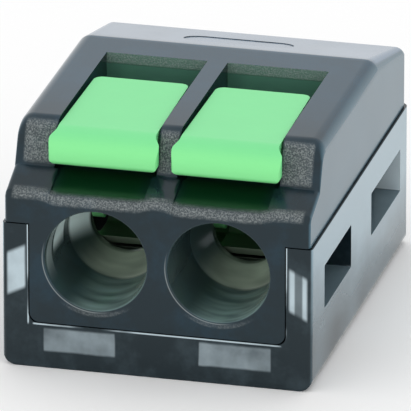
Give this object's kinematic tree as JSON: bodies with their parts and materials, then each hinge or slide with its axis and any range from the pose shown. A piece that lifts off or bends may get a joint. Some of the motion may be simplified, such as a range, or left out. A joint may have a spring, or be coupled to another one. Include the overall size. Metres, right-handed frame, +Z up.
{
  "type": "lever wire connector",
  "caption": "Lever wire connector: a smoky translucent snap-together housing with round wire entries, and over each entry a green lever that lifts an inner clamp spring.",
  "frame": {"origin": "middle of the flat underside", "axes": "+X across the two poles to the right lever, +Y inward along the wires from the front face, +Z up"},
  "size_m": [0.0158, 0.021, 0.0122],
  "materials": {
    "clear_plastic": "smoky translucent polycarbonate, glossy as moulded",
    "smoky_plastic": "dark smoky translucent polycarbonate, glossy, with spark-textured patches",
    "tinned_copper": "bright tin plate over copper",
    "green_plastic": "bright green polyamide, satin gloss",
    "spring_steel": "rolled stainless spring strip"
  },
  "bodies": {
    "housing": {"base": "clear_plastic", "cover": "smoky_plastic", "busbar": "tinned_copper", "clamp_spring_left": "spring_steel", "clamp_spring_right": "spring_steel"},
    "left_lever": {"lever_left": "green_plastic"},
    "right_lever": {"lever_right": "green_plastic"}
  },
  "joints": [
    {"name": "left_lever_hinge", "type": "hinge", "parent": "housing", "child": "left_lever", "pos_m": [-0.00314, -0.00151, 0.0087], "axis": [-1, 0, 0], "range_deg": [0, 90], "deforming": ["clamp_spring_left"]},
    {"name": "right_lever_hinge", "type": "hinge", "parent": "housing", "child": "right_lever", "pos_m": [0.00314, -0.00151, 0.0087], "axis": [-1, 0, 0], "range_deg": [0, 90], "deforming": ["clamp_spring_right"]}
  ]
}
